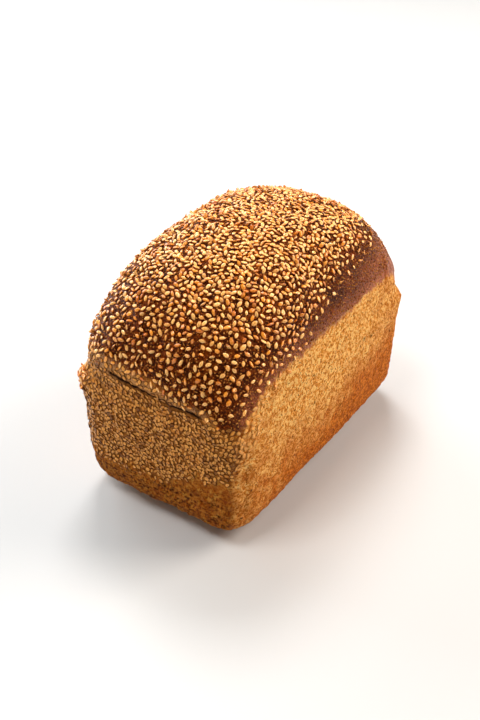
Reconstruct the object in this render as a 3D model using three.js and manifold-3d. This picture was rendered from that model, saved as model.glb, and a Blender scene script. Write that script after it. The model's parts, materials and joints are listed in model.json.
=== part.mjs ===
import * as THREE from 'three';
import { ParametricGeometry } from 'three/addons/geometries/ParametricGeometry.js';
import { mergeVertices } from 'three/addons/utils/BufferGeometryUtils.js';
import Module from 'manifold-3d';

const { seededRandom } = THREE.MathUtils;

// A whole wheat tin loaf with a sesame crown, in millimetres.
// +X runs along the loaf to its far end, -Y is its front side, +Z is up.
// The origin is on the table, under the middle of the loaf.
const LENGTH = 184;
const WIDTH = 110;
const CORNER_RADIUS = 19;
const CORNER_TIGHTENING = 0.3;
const BASE_RADIUS = 20;

// The walls lean in a little towards the base, mostly low down.
const WALL_HEIGHT = 74.5;
const WALL_DRAFT = 3;
const DRAFT_POWER = 1.7;

// Above the walls the dough rose straight for a short way, then closed to a crown.
const SPRING_RISE = 6.5;
const CROWN_RISE = 64.5;
const CROWN_SHOULDER = 2.4;
const CROWN_FULLNESS = { near: 2.1, far: 2.45, side: 3.05 };
const CROWN_ROUNDING = 0.7;

// At two opposite corners the tin left a thin lip, with a crease above it.
const LIP_DEPTH = 1;
const LIP_REACH = 16;
const CREASE_DEPTH = 2.9;
const CREASE_REACH = { below: 6.5, above: 16 };
const CORNER_FOCUS = 4;

// The near end is dented under a fold, and thin slits run along the fold and up the far front corner.
const DENT_DEPTH = 1.4;
const DENT_DROP = 5;
const DENT_REACH = 9;
const FOLD = { middle: -5, halfLength: 34, height: 84 };
const SLIT_MOUTH = 1.3;
const SLIT_DEPTH = 5;
const SLITS = [
  { from: [-91, 23, 87.8], to: [-91, -6, 83.2], inward: [1, 0, 0.3] },
  { from: [-91, -1, 84.2], to: [-91, -31, 83.8], inward: [1, 0, 0.3] },
  { from: [57, -51.5, 109], to: [57, -54, 97], inward: [-0.3, 1, 0] },
];

// Sesame lies on the crown down to a slanting edge, and is pressed flush into the near end.
const SEED = { length: 3.4, width: 2.1, thickness: 1.2, taper: 0.35 };
const SEED_EDGE = { low: 82, rise: 30, run: 139 };
const END_SEEDS = { foot: 32, footSlope: 0.45, depth: 5, head: 82 };
const CROWN_SEED_COUNT = 212;
const END_SEED_COUNT = 38;
const CROWN_SEED_SINK = 0.05;
const END_SEED_SINK = 0.3;
const SPREAD_TRIES = 14;
const RANDOM_START = 20261;

// Steps of the surface.
const ARC_STEPS = 6;
const STRAIGHT_STEPS = 7;
const QUARTER_STEPS = ARC_STEPS + STRAIGHT_STEPS;
const BASE_STEPS = 5;
const WALL_STEPS = 6;
const CROWN_STEPS = 16;
const CROWN_LAST = 0.97;
const SLIT_STEPS = 8;
const SLIT_SIDES = 4;
const MERGE_GAP = 1e-3;

const HALF_LENGTH = LENGTH / 2;
const HALF_WIDTH = WIDTH / 2;
const CROWN_FOOT = WALL_HEIGHT + SPRING_RISE;

// x times y at the middle of a corner's arc, to measure how near a point is to a corner.
const CORNER_CUT = CORNER_RADIUS * (1 - Math.SQRT1_2);
const CORNER_PRODUCT = (HALF_LENGTH - CORNER_CUT) * (HALF_WIDTH - CORNER_CUT);

// A smooth bump: 1 in the middle, 0 at and beyond one unit on either side.
function bump(t) {
  return Math.abs(t) < 1 ? (1 - t * t) ** 2 : 0;
}

function draftAt(z) {
  return WALL_DRAFT * Math.max(0, 1 - z / WALL_HEIGHT) ** DRAFT_POWER;
}

// A level outline of the loaf below the crown, set in from the rim by an inset.
function wallRing(z, inset) {
  return {
    z,
    near: HALF_LENGTH - inset,
    far: HALF_LENGTH - inset,
    side: HALF_WIDTH - inset,
    radius: CORNER_RADIUS - CORNER_TIGHTENING * inset,
  };
}

// A level outline of the crown, at a share of its quarter turn from the foot to the top.
function crownRing(share) {
  const rise = Math.sin((share * Math.PI) / 2);
  const closing = 1 - rise ** CROWN_SHOULDER;
  const near = HALF_LENGTH * closing ** (1 / CROWN_FULLNESS.near);
  const far = HALF_LENGTH * closing ** (1 / CROWN_FULLNESS.far);
  const side = HALF_WIDTH * closing ** (1 / CROWN_FULLNESS.side);
  const widest = Math.min(side, (near + far) / 2);
  const radius = CORNER_RADIUS + (widest - CORNER_RADIUS) * rise ** CROWN_ROUNDING;
  return { z: CROWN_FOOT + CROWN_RISE * rise, near, far, side, radius: Math.min(radius, widest) };
}

function pole(z) {
  return { z, near: 0, far: 0, side: 0, radius: 0 };
}

// The outlines from the middle of the base to the top of the crown.
function loafRings() {
  const rings = [pole(0)];
  for (let i = 0; i <= BASE_STEPS; i += 1) {
    const angle = (i / BASE_STEPS) * (Math.PI / 2);
    const z = BASE_RADIUS * (1 - Math.cos(angle));
    rings.push(wallRing(z, BASE_RADIUS * (1 - Math.sin(angle)) + draftAt(z)));
  }
  for (let i = 1; i <= WALL_STEPS; i += 1) {
    const z = BASE_RADIUS + (WALL_HEIGHT - BASE_RADIUS) * (i / WALL_STEPS);
    rings.push(wallRing(z, draftAt(z)));
  }
  rings.push(wallRing(WALL_HEIGHT + SPRING_RISE / 2, 0));
  for (let i = 0; i <= CROWN_STEPS; i += 1) {
    rings.push(crownRing((i / CROWN_STEPS) * CROWN_LAST));
  }
  rings.push(pole(CROWN_FOOT + CROWN_RISE));
  return rings;
}

// The point of an outline after so many steps: a quarter is a corner arc, then a straight run.
function outlinePoint(ring, step) {
  const quarter = Math.floor(step / QUARTER_STEPS) % 4;
  const along = step % QUARTER_STEPS;
  const arcPoint = (corner, turn) => {
    const onFarEnd = corner === 0 || corner === 3;
    const onBackSide = corner < 2;
    const centreX = onFarEnd ? ring.far - ring.radius : ring.radius - ring.near;
    const centreY = onBackSide ? ring.side - ring.radius : ring.radius - ring.side;
    const angle = (corner + turn) * (Math.PI / 2);
    const x = centreX + ring.radius * Math.cos(angle);
    const y = centreY + ring.radius * Math.sin(angle);
    return new THREE.Vector3(x, y, ring.z);
  };
  if (along <= ARC_STEPS) {
    return arcPoint(quarter, along / ARC_STEPS);
  }
  const start = arcPoint(quarter, 1);
  return start.lerp(arcPoint((quarter + 1) % 4, 0), (along - ARC_STEPS) / STRAIGHT_STEPS);
}

// The lips and creases at the corners, and the dent under the fold, shift a point of the plain form.
function addRelief(point) {
  const { x, y, z } = point;
  const corner = Math.max(0, (-x * y) / CORNER_PRODUCT) ** CORNER_FOCUS;
  const lip = LIP_DEPTH * bump((z - WALL_HEIGHT) / LIP_REACH) * (z <= WALL_HEIGHT ? 1 : 0);
  const reach = z < CROWN_FOOT ? CREASE_REACH.below : CREASE_REACH.above;
  const crease = CREASE_DEPTH * bump((z - CROWN_FOOT) / reach);
  const outward = new THREE.Vector3(x / HALF_LENGTH, y / HALF_WIDTH, 0).normalize();
  point.addScaledVector(outward, corner * (lip - crease));
  const acrossFold = bump((y - FOLD.middle) / FOLD.halfLength);
  const belowFold = bump((z - FOLD.height + DENT_DROP) / DENT_REACH);
  if (x < 0) {
    point.x += DENT_DEPTH * acrossFold * belowFold;
  }
  return point;
}

function loafGeometry() {
  const rings = loafRings();
  const ringSteps = 4 * QUARTER_STEPS;
  const surface = (u, v, target) => {
    const ring = rings[Math.round(v * (rings.length - 1))];
    target.copy(addRelief(outlinePoint(ring, Math.round(u * ringSteps) % ringSteps)));
  };
  return new ParametricGeometry(surface, ringSteps, rings.length - 1);
}

// A blade that is thin across the slit, points into the crust and runs out to nothing at both ends.
function slitGeometry({ from, to, inward }) {
  const start = new THREE.Vector3(...from);
  const run = new THREE.Vector3(...to).sub(start);
  const deep = new THREE.Vector3(...inward).normalize();
  const across = new THREE.Vector3().crossVectors(deep, run).normalize();
  const surface = (u, v, target) => {
    const angle = u * 2 * Math.PI;
    const size = Math.sqrt(Math.max(0, Math.sin(v * Math.PI)));
    target.copy(start).addScaledVector(run, v);
    target.addScaledVector(deep, SLIT_DEPTH * size * Math.sin(angle));
    target.addScaledVector(across, (SLIT_MOUTH / 2) * size * Math.cos(angle));
  };
  return new ParametricGeometry(surface, SLIT_SIDES, SLIT_STEPS);
}

// A sesame seed is a flat drop, narrower towards its tip at +X.
function seedGeometry() {
  const geometry = new THREE.IcosahedronGeometry(1, 0);
  const position = geometry.attributes.position;
  for (let i = 0; i < position.count; i += 1) {
    const along = position.getX(i);
    position.setX(i, (along * SEED.length) / 2);
    position.setY(i, (position.getY(i) * (1 - SEED.taper * along) * SEED.width) / 2);
    position.setZ(i, (position.getZ(i) * SEED.thickness) / 2);
  }
  return geometry;
}

function isCrownSeed(point) {
  const share = (point.x + HALF_LENGTH) / SEED_EDGE.run;
  return point.z > SEED_EDGE.low + SEED_EDGE.rise * Math.sqrt(Math.max(0, share));
}

function isEndSeed(point) {
  const foot = END_SEEDS.foot + END_SEEDS.footSlope * Math.max(0, -point.y);
  return point.x < END_SEEDS.depth - HALF_LENGTH && point.z > foot && point.z < END_SEEDS.head;
}

// Picks spots on the surface by area, each one the farthest of several tries from the spots before it.
function spreadSpots(geometry, count, belongs) {
  const { position } = geometry.attributes;
  const corner = (i) => new THREE.Vector3().fromBufferAttribute(position, geometry.index.getX(i));
  const faces = [];
  let area = 0;
  for (let i = 0; i < geometry.index.count; i += 3) {
    const face = new THREE.Triangle(corner(i), corner(i + 1), corner(i + 2));
    area += face.getArea();
    faces.push({ face, upTo: area });
  }
  const trySpot = () => {
    const pick = seededRandom() * area;
    const { face } = faces.find((entry) => entry.upTo >= pick);
    const mix = Math.sqrt(seededRandom());
    const onEdge = face.b.clone().lerp(face.c, seededRandom());
    return { point: face.a.clone().lerp(onEdge, mix), normal: face.getNormal(new THREE.Vector3()) };
  };
  const spots = [];
  while (spots.length < count) {
    let best = null;
    let bestGap = -1;
    for (let tries = 0; tries < SPREAD_TRIES; ) {
      const spot = trySpot();
      if (belongs(spot.point)) {
        const gap = Math.min(LENGTH, ...spots.map((other) => other.point.distanceTo(spot.point)));
        best = gap > bestGap ? spot : best;
        bestGap = Math.max(gap, bestGap);
        tries += 1;
      }
    }
    spots.push(best);
  }
  return spots;
}

// A seed lying flat on the crust at a spot, turned at random about the crust's normal.
function seedAt(spot, sink) {
  const lie = new THREE.Quaternion().setFromUnitVectors(new THREE.Vector3(0, 0, 1), spot.normal);
  const turn = new THREE.Quaternion().setFromAxisAngle(spot.normal, seededRandom() * 2 * Math.PI);
  const place = spot.point.clone().addScaledVector(spot.normal, -sink);
  const matrix = new THREE.Matrix4().compose(place, turn.multiply(lie), new THREE.Vector3(1, 1, 1));
  return seedGeometry().applyMatrix4(matrix);
}

const wasm = await Module();
wasm.setup();

// A closed geometry as a solid: shared corners merged, and the empty triangles at its poles left out.
function solidOf(geometry) {
  const shell = geometry.clone();
  shell.deleteAttribute('normal');
  shell.deleteAttribute('uv');
  const merged = mergeVertices(shell, MERGE_GAP);
  const corners = merged.index.array;
  const triangles = [];
  for (let i = 0; i < corners.length; i += 3) {
    const [a, b, c] = [corners[i], corners[i + 1], corners[i + 2]];
    if (a !== b && b !== c && c !== a) {
      triangles.push(a, b, c);
    }
  }
  const vertProperties = new Float32Array(merged.attributes.position.array);
  const mesh = new wasm.Mesh({ numProp: 3, vertProperties, triVerts: new Uint32Array(triangles) });
  return new wasm.Manifold(mesh);
}

function geometryOf(solid) {
  const mesh = solid.getMesh();
  const geometry = new THREE.BufferGeometry();
  geometry.setAttribute('position', new THREE.BufferAttribute(new Float32Array(mesh.vertProperties), 3));
  geometry.setIndex(new THREE.BufferAttribute(new Uint32Array(mesh.triVerts), 1));
  geometry.computeVertexNormals();
  return geometry;
}

// The loaf is one piece: its body, less the slits, with the seeds fused on.
function buildLoaf() {
  const body = loafGeometry();
  seededRandom(RANDOM_START);
  const crown = spreadSpots(body, CROWN_SEED_COUNT, isCrownSeed);
  const end = spreadSpots(body, END_SEED_COUNT, isEndSeed);
  let solid = solidOf(body);
  for (const slit of SLITS) {
    solid = solid.subtract(solidOf(slitGeometry(slit)));
  }
  for (const spot of crown) {
    solid = solid.add(solidOf(seedAt(spot, CROWN_SEED_SINK)));
  }
  for (const spot of end) {
    solid = solid.add(solidOf(seedAt(spot, END_SEED_SINK)));
  }
  const crust = new THREE.MeshStandardMaterial({ color: 0x8a5228, roughness: 0.7, metalness: 0 });
  const loaf = new THREE.Mesh(geometryOf(solid), crust);
  loaf.name = 'loaf';
  return loaf;
}

const wholeWheatLoaf = new THREE.Group();
wholeWheatLoaf.add(buildLoaf());

export default wholeWheatLoaf;
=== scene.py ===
# %% [markdown]
# # A whole wheat tin loaf with a sesame crown
# The real thing is one uncut loaf, baked in a deep tin. The tin's walls pressed its sides flat and golden,
# the free dough above the rim rose to a dark, satin crown, and toasted sesame seeds cover that crown.
# The plain loaf that is loaded here has the right form and size, but no crust. This lesson models the crust
# and the seeds in the same place, and gives both a baked finish.

# %% Load the plain loaf
import json
import math

import bpy
import numpy as np
from mathutils import Matrix, Vector
from mathutils.kdtree import KDTree

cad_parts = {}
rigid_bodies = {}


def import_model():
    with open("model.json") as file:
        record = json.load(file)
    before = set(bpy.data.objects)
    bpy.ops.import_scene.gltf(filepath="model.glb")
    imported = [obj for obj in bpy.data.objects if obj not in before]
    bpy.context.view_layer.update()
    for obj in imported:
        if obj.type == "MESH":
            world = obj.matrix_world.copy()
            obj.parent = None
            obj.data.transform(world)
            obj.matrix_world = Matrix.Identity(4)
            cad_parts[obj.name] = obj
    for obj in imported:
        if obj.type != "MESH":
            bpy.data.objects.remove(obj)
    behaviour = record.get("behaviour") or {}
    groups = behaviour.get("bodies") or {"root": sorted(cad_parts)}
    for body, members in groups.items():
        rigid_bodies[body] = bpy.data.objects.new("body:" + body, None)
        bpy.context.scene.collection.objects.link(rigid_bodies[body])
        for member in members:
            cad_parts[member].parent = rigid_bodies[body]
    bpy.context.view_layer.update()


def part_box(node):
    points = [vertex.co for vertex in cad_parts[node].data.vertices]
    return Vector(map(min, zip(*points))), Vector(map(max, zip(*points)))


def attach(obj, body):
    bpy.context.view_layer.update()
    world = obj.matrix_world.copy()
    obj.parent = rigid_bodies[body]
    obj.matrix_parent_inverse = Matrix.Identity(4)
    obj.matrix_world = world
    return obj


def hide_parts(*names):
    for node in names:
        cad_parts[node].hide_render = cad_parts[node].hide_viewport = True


MM = 0.001
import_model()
loaf_low, loaf_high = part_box("loaf")
print("plain loaf, mm:", [round(side / MM, 1) for side in loaf_high - loaf_low])

# %% [markdown]
# ## The camera
# A 50 mm lens looks down on the loaf's near corner, so that the shaded near end, the bright front side and
# the crown all show. The camera stands on a sphere about a point in the loaf: an azimuth, an elevation and a
# distance are easier to read, and to correct, than three coordinates.

# %% Place the camera
VIEW_AZIMUTH = math.radians(-56.0)
VIEW_ELEVATION = math.radians(34.8)
VIEW_DISTANCE = 580 * MM
VIEW_CENTRE = Vector((0, 0, 50 * MM))
VIEW_SLIDE = (-5.7 * MM, 2.5 * MM)
LENS = 50

view_back = Vector((
    math.sin(VIEW_AZIMUTH) * math.cos(VIEW_ELEVATION),
    -math.cos(VIEW_AZIMUTH) * math.cos(VIEW_ELEVATION),
    math.sin(VIEW_ELEVATION),
))
view_right = Vector((math.cos(VIEW_AZIMUTH), math.sin(VIEW_AZIMUTH), 0))
view_up = view_back.cross(view_right)
view_target = VIEW_CENTRE + VIEW_SLIDE[0] * view_right + VIEW_SLIDE[1] * view_up

bpy.ops.object.select_all(action="DESELECT")
bpy.ops.object.camera_add(
    location=view_target + VIEW_DISTANCE * view_back,
    rotation=Matrix((view_right, view_up, view_back)).transposed().to_euler(),
)
camera = bpy.context.object
camera.data.lens = LENS
bpy.context.scene.camera = camera
print("camera at, mm:", [round(place / MM) for place in camera.location])

# %% [markdown]
# ## The floor
# The loaf stands on a plain pale floor. A wide disc shows the same round edge from every side, where a square
# would show a corner. It isn't part of the loaf.

# %% Lay the floor
FLOOR_RADIUS, FLOOR_SIDES = 1.25, 96
FLOOR_COLOUR = (0.57, 0.557, 0.545, 1)
FLOOR_ROUGHNESS = 0.6

bpy.ops.object.select_all(action="DESELECT")
bpy.ops.mesh.primitive_circle_add(vertices=FLOOR_SIDES, radius=FLOOR_RADIUS, fill_type="NGON")
floor = bpy.context.object
floor.name = "floor"
floor_finish = bpy.data.materials.new("pale_floor")
floor_finish.use_nodes = True
floor_shader = floor_finish.node_tree.nodes["Principled BSDF"]
floor_shader.inputs["Base Color"].default_value = FLOOR_COLOUR
floor_shader.inputs["Roughness"].default_value = FLOOR_ROUGHNESS
floor.data.materials.append(floor_finish)
print("floor:", 2 * FLOOR_RADIUS, "m across")

# %% [markdown]
# ## The windows
# Two windows behind the loaf, a small high one and a broad cool one, give the sheen on its crown and leave
# the near end in shade. A warm one lights the front side. Two weak ones fill the crown and the near end: they
# are hidden from reflections, because their gloss would veil the dark skin between the seeds. Area lights
# suit all five, since a larger light casts a softer shadow.

# %% Hang the windows
WARM, WHITE, COOL = (1.0, 0.93, 0.85), (1.0, 1.0, 1.0), (0.83, 0.94, 1.0)
WINDOWS = {
    "high_window": {"aim": (0.62, 0.46, 1.25), "away": 1.6, "size": 0.5,
                    "watts": 16.5, "colour": WHITE, "mirrored": True},
    "back_wall": {"aim": (0.25, 0.92, 0.36), "away": 2.0, "size": 1.6,
                  "watts": 43, "colour": COOL, "mirrored": True},
    "front_window": {"aim": (0.70, -0.75, 0.72), "away": 1.6, "size": 0.9,
                     "watts": 29.5, "colour": WARM, "mirrored": True},
    "overhead": {"aim": (-0.38, 0.15, 1.00), "away": 1.5, "size": 0.5,
                 "watts": 13, "colour": WHITE, "mirrored": False},
    "near_fill": {"aim": (-0.75, 0.42, 0.52), "away": 1.6, "size": 1.0,
                  "watts": 3.8, "colour": WARM, "mirrored": False},
}

for name, window in WINDOWS.items():
    aim = Vector(window["aim"]).normalized()
    bpy.ops.object.light_add(
        type="AREA",
        location=VIEW_CENTRE + window["away"] * aim,
        rotation=aim.to_track_quat("Z", "Y").to_euler(),
    )
    light = bpy.context.object
    light.name = name
    light.data.size = window["size"]
    light.data.energy = window["watts"]
    light.data.color = window["colour"]
    light.visible_glossy = window["mirrored"]
print("windows:", list(WINDOWS))

# %% [markdown]
# ## The sky
# A sky that is pale all round would lay a grey veil on the crown, so it is pale at the horizon only and dark
# above. The height of the direction that a ray takes picks the colour. Colours are shown as they are mixed,
# so the Standard view is used.

# %% Paint the sky
SKY_HIGH, SKY_LOW = (0.03, 0.029, 0.028, 1), (0.78, 0.735, 0.685, 1)
SKY_FADE = 0.3

sky = bpy.data.worlds.new("pale_sky")
sky.use_nodes = True
sky_nodes, sky_links = sky.node_tree.nodes, sky.node_tree.links
way = sky_nodes.new("ShaderNodeTexCoord").outputs["Generated"]
upward = sky_nodes.new("ShaderNodeSeparateXYZ")
sky_links.new(way, upward.inputs[0])
mist = sky_nodes.new("ShaderNodeMapRange")
mist.interpolation_type = "SMOOTHSTEP"
mist.inputs["From Max"].default_value = SKY_FADE
sky_links.new(upward.outputs["Z"], mist.inputs["Value"])
sky_mix = sky_nodes.new("ShaderNodeMix")
sky_mix.data_type = "RGBA"
sky_mix.inputs[6].default_value = SKY_LOW
sky_mix.inputs[7].default_value = SKY_HIGH
sky_links.new(mist.outputs[0], sky_mix.inputs[0])
sky_links.new(sky_mix.outputs[2], sky_nodes["Background"].inputs["Color"])
bpy.context.scene.world = sky
bpy.context.scene.view_settings.view_transform = "Standard"
print("sky:", len(sky_nodes), "nodes")

# %% [markdown]
# ## The loaf's outlines
# Cut the real loaf level at any height and the cut is a rectangle with round corners. Below the rim it keeps
# the tin's shape, and in the crown it shrinks and its corners grow rounder. So the form is a stack of such
# outlines, each worked out from the loaf's size: this gives an exact tin wall and an exact crown, which
# pushing a sphere into shape would not.

# %% Work out the outlines
HALF_LENGTH = 92 * MM
HALF_WIDTH = 55 * MM
CORNER_RADIUS = 19 * MM
CORNER_TIGHTENING = 0.3
BASE_RADIUS = 20 * MM
WALL_HEIGHT = 74.5 * MM
WALL_DRAFT = 3 * MM
DRAFT_POWER = 1.7
CROWN_FOOT = WALL_HEIGHT + 6.5 * MM
CROWN_RISE = 64.5 * MM
CROWN_SHOULDER = 2.4
FULLNESS_NEAR, FULLNESS_FAR, FULLNESS_SIDE = 2.1, 2.45, 3.05
CROWN_ROUNDING = 0.7
BASE_STEPS, WALL_STEPS, CROWN_STEPS = 8, 7, 24
CROWN_LAST = 0.97


def wall_outline(z, inset):
    """The outline at a height of the wall, drawn in by the inset; its corners tighten with it."""
    end = HALF_LENGTH - inset
    return {"z": z, "near": end, "far": end, "side": HALF_WIDTH - inset,
            "radius": CORNER_RADIUS - CORNER_TIGHTENING * inset}


def wall_draft(z):
    """How far the tin's walls lean in at a height."""
    return WALL_DRAFT * max(0.0, 1 - z / WALL_HEIGHT) ** DRAFT_POWER


def crown_outline(share):
    """The outline a share of the way up the crown; each side closes with a fullness of its own."""
    rise = math.sin(share * math.pi / 2)
    closing = 1 - rise ** CROWN_SHOULDER
    near = HALF_LENGTH * closing ** (1 / FULLNESS_NEAR)
    far = HALF_LENGTH * closing ** (1 / FULLNESS_FAR)
    side = HALF_WIDTH * closing ** (1 / FULLNESS_SIDE)
    widest = min(side, (near + far) / 2)
    radius = CORNER_RADIUS + (widest - CORNER_RADIUS) * rise ** CROWN_ROUNDING
    return {"z": CROWN_FOOT + CROWN_RISE * rise, "near": near, "far": far, "side": side,
            "radius": min(radius, widest)}


outlines = []
for step in range(BASE_STEPS + 1):
    angle = step / BASE_STEPS * math.pi / 2
    height = BASE_RADIUS * (1 - math.cos(angle))
    outlines.append(wall_outline(height, BASE_RADIUS * (1 - math.sin(angle)) + wall_draft(height)))
for step in range(1, WALL_STEPS + 1):
    height = BASE_RADIUS + (WALL_HEIGHT - BASE_RADIUS) * step / WALL_STEPS
    outlines.append(wall_outline(height, wall_draft(height)))
outlines += [crown_outline(step / CROWN_STEPS * CROWN_LAST) for step in range(CROWN_STEPS + 1)]
print("outlines:", len(outlines), "from", outlines[0]["z"] / MM, "to", round(outlines[-1]["z"] / MM, 1), "mm")

# %% [markdown]
# ## The body
# Each outline starts as a plane of its size at its height. Beveling the plane's four corners rounds it, its
# face is deleted so that only the edge is left, and Bridge joins all the edges into one skin. Fill closes
# the base and the top.

# %% Bridge the outlines into a body
CORNER_SEGMENTS = 8
CORNER_LIMIT = 0.999

bpy.ops.object.select_all(action="DESELECT")
bpy.ops.mesh.primitive_plane_add(size=MM)
crust = bpy.context.object
crust.name = "crust"
bpy.ops.object.mode_set(mode="EDIT")
bpy.ops.mesh.delete(type="VERT")
for outline in outlines:
    middle = ((outline["far"] - outline["near"]) / 2, 0, outline["z"])
    bpy.ops.mesh.select_all(action="DESELECT")
    bpy.ops.mesh.primitive_plane_add(size=1, location=middle)
    bpy.ops.transform.resize(
        value=(outline["near"] + outline["far"], 2 * outline["side"], 1), center_override=middle)
    bpy.ops.mesh.bevel(offset=CORNER_LIMIT * outline["radius"], segments=CORNER_SEGMENTS,
                       affect="VERTICES", clamp_overlap=False)
    bpy.ops.mesh.delete(type="ONLY_FACE")
bpy.ops.mesh.select_all(action="SELECT")
bpy.ops.mesh.bridge_edge_loops()
bpy.ops.mesh.select_all(action="SELECT")
bpy.ops.mesh.fill_holes(sides=0)
bpy.ops.mesh.normals_make_consistent(inside=False)
bpy.ops.object.mode_set(mode="OBJECT")
print("body:", len(crust.data.polygons), "faces")

# %% [markdown]
# ## An even skin
# Relief needs small faces of one size all over. Subdivision Surface first rounds the facets, then a voxel
# Remesh lays an even net over the form. The underside is set flat again, so that the loaf stands.

# %% Round the body and give it an even net
VOXEL = 1.16 * MM
FLAT_DEPTH = 0.25 * MM


def apply_modifier(piece, kind, **settings):
    """Adds a modifier with its settings and applies it."""
    modifier = piece.modifiers.new(kind.lower(), kind)
    for key, value in settings.items():
        setattr(modifier, key, value)
    with bpy.context.temp_override(object=piece, active_object=piece):
        bpy.ops.object.modifier_apply(modifier=modifier.name)


def places(piece):
    """The places of all the piece's vertices."""
    found = np.empty(len(piece.data.vertices) * 3)
    piece.data.vertices.foreach_get("co", found)
    return found.reshape(-1, 3)


def select_vertices(piece, chosen):
    """Leaves the piece in edit mode with the chosen vertices selected, and nothing else."""
    bpy.ops.object.select_all(action="DESELECT")
    piece.select_set(True)
    bpy.context.view_layer.objects.active = piece
    bpy.ops.object.mode_set(mode="EDIT")
    bpy.ops.mesh.select_mode(type="VERT")
    bpy.ops.mesh.select_all(action="DESELECT")
    bpy.ops.object.mode_set(mode="OBJECT")
    piece.data.vertices.foreach_set("select", np.asarray(chosen, dtype=bool))
    bpy.ops.object.mode_set(mode="EDIT")


apply_modifier(crust, "SUBSURF", levels=2, render_levels=2)
apply_modifier(crust, "REMESH", mode="VOXEL", voxel_size=VOXEL)
select_vertices(crust, places(crust)[:, 2] < FLAT_DEPTH)
bpy.ops.transform.resize(value=(1, 1, 0), center_override=(0, 0, 0))
bpy.ops.object.mode_set(mode="OBJECT")
print("even net:", len(crust.data.polygons), "faces")

# %% [markdown]
# ## Corners and dent
# At two opposite corners the dough squeezed over the tin's rim: a thin lip stands out there, with a crease
# above it. The near end sank in a little under the fold of its crown. Each is a soft push along the
# surface, so each gets a vertex group, painted by place, and a Displace modifier that follows the group.

# %% Push the corners and the dent
CORNER_CUT = CORNER_RADIUS * (1 - math.sqrt(0.5))
CORNER_X = HALF_LENGTH - CORNER_CUT
CORNER_Y = HALF_WIDTH - CORNER_CUT
CORNER_FOCUS = 4
LIP_DEPTH, LIP_REACH = 1.0 * MM, 16 * MM
CREASE_DEPTH, CREASE_BELOW, CREASE_ABOVE = 2.9 * MM, 6.5 * MM, 16 * MM
DENT_DEPTH, DENT_HEIGHT, DENT_REACH = 1.4 * MM, 79 * MM, 9 * MM
FOLD_MIDDLE, FOLD_HALF = -5 * MM, 34 * MM
END_DEPTH, END_FADE = 12 * MM, 8 * MM
FAINT = 0.002


def bump(t):
    """1 in the middle, 0 at and beyond one unit on either side."""
    return np.clip(1 - np.asarray(t) ** 2, 0, None) ** 2


def displace(piece, depth, weights, texture=None):
    """Pushes the piece's surface out by the depth, times the weight and, if given, the texture."""
    group = piece.vertex_groups.new(name="push")
    for index in np.flatnonzero(weights > FAINT):
        group.add([int(index)], float(weights[index]), "REPLACE")
    settings = {"strength": depth, "mid_level": 0.0, "vertex_group": group.name}
    if texture is not None:
        settings.update(texture=texture, texture_coords="LOCAL", mid_level=0.5)
    apply_modifier(piece, "DISPLACE", **settings)
    piece.vertex_groups.clear()


x, y, z = places(crust).T
corner = np.clip(-x * y / (CORNER_X * CORNER_Y), 0, 1) ** CORNER_FOCUS
displace(crust, LIP_DEPTH, corner * bump((z - WALL_HEIGHT) / LIP_REACH) * (z <= WALL_HEIGHT))
crease_reach = np.where(z < CROWN_FOOT, CREASE_BELOW, CREASE_ABOVE)
displace(crust, -CREASE_DEPTH, corner * bump((z - CROWN_FOOT) / crease_reach))
sunken = np.clip((-x - HALF_LENGTH + END_DEPTH) / END_FADE, 0, 1) * bump((y - FOLD_MIDDLE) / FOLD_HALF)
displace(crust, -DENT_DEPTH, sunken * bump((z - DENT_HEIGHT) / DENT_REACH))
print("corners and dent pushed, size, mm:", [round(side / MM, 1) for side in crust.dimensions])

# %% [markdown]
# ## Folds
# Above the near end the crown's skin folded over the wall: a groove, a rounded ridge above it and smaller
# folds beside them. Lower down the end bulges a little, and at the far front corner the crown cracked. A
# sculptor would draw each with one stroke of a brush. Selecting the vertices along a path and moving them
# along their normals, with proportional editing as the brush's soft edge, does the same.

# %% Draw the folds
FOLD_PATH = [(-91, 24, 87.9), (-91, 13, 86.5), (-91, 6, 85.6), (-91, -3.6, 83.6), (-91, -14, 83.4),
             (-91, -25, 83.9), (-90, -34, 83.6), (-89, -41, 79.3), (-85, -49, 75.5)]
RIDGE_PATH = [(-91, 30, 92), (-91, 13, 90.5), (-91, -4, 87.8), (-91, -25, 87.6), (-89, -37, 86)]
STROKES = [
    {"path": FOLD_PATH[:-1], "reach": 2.4, "depth": -0.5},
    {"path": RIDGE_PATH, "reach": 4.2, "depth": 0.25},
    {"path": [(-88, 46, 82), (-90, 38, 80.5), (-91, 31, 78.5), (-92, 24, 74.5)], "reach": 2.6, "depth": -0.9},
    {"path": [(-88, 45, 86.5), (-90, 37, 85), (-91, 28, 82.5)], "reach": 2.4, "depth": -0.7},
    {"path": [(-90, -33, 86.5), (-88, -42, 81.5)], "reach": 2.4, "depth": 0.7},
    {"path": [(-91, 43, 28.5), (-91, 20, 28), (-91, 4, 26.5)], "reach": 7, "depth": 0.8},
    {"path": [(57.5, -51.5, 110), (57.5, -54, 97)], "reach": 2.2, "depth": -0.8},
    {"path": [(61, -51, 109), (61.5, -54, 98)], "reach": 3, "depth": 0.7},
]
STROKE_CORE, STROKE_SPARE = 1.0 * MM, 0.4 * MM


def path_gap(points, path):
    """How far each point is from a path of straight runs."""
    gap = np.full(len(points), np.inf)
    stops = np.array(path) * MM
    for start, end in zip(stops[:-1], stops[1:]):
        run = end - start
        share = np.clip((points - start) @ run / (run @ run), 0, 1)
        gap = np.minimum(gap, np.linalg.norm(points - start - share[:, None] * run, axis=1))
    return gap


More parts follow.
